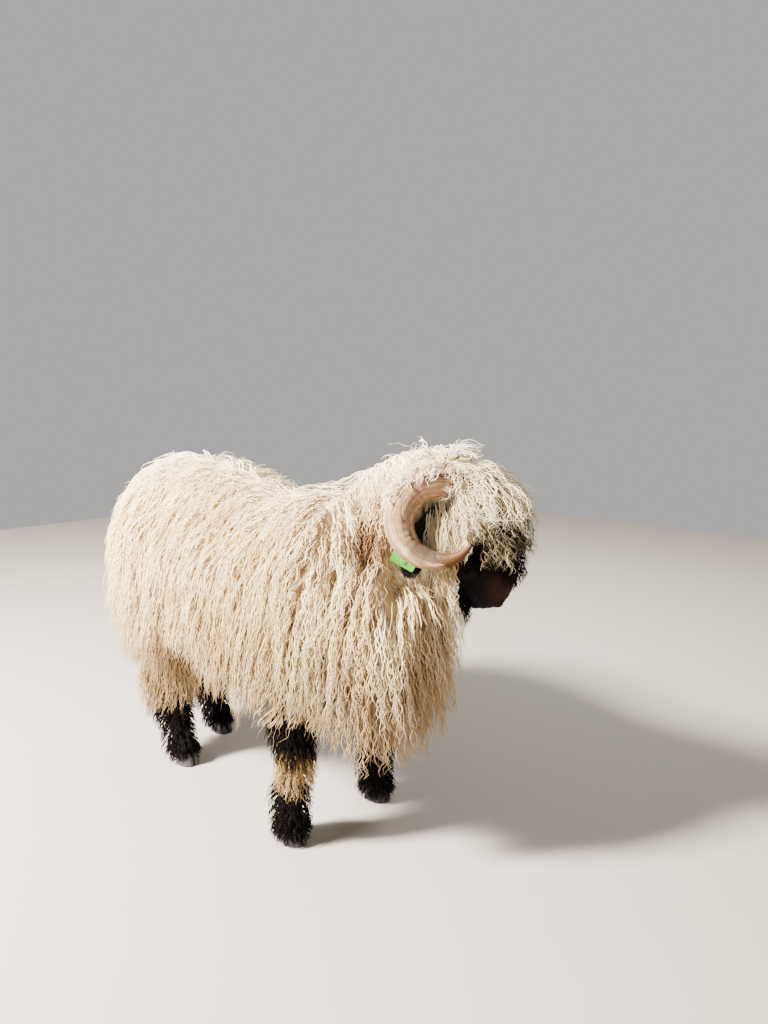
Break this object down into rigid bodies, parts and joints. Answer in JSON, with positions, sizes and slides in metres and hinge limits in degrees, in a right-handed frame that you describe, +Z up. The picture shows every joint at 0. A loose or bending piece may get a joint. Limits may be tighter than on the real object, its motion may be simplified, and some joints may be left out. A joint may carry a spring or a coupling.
{
  "type": "valais blacknose sheep",
  "caption": "Life-size still model of a standing curly-horned ram with long pale fleece, black face, knees and feet, and a plain ear tag.",
  "frame": {"origin": "centre of the footprint box of the whole ram, on the ground", "axes": "+X the way the ram faces, +Y its left side, +Z up"},
  "size_m": [1.247, 0.4872, 0.8688],
  "materials": {
    "fleece": "long wavy cream wool, matt",
    "black_wool": "short curly black wool, matt",
    "horn": "ringed horn, satin",
    "hoof": "dusty grey horn",
    "eye": "wet gloss",
    "tag": "moulded green plastic"
  },
  "bodies": {
    "root": {"torso": "fleece", "neck": "fleece", "head": "black_wool", "tail": "fleece", "horn_right": "horn", "horn_left": "horn", "ear_right": "black_wool", "ear_left": "black_wool", "ear_tag": "tag", "eye_right": "eye", "eye_left": "eye", "front_leg_right": "black_wool", "front_right_claw_right": "hoof", "front_right_claw_left": "hoof", "front_leg_left": "black_wool", "front_left_claw_right": "hoof", "front_left_claw_left": "hoof", "hind_leg_right": "black_wool", "hind_right_claw_right": "hoof", "hind_right_claw_left": "hoof", "hind_leg_left": "black_wool", "hind_left_claw_right": "hoof", "hind_left_claw_left": "hoof"}
  },
  "joints": []
}
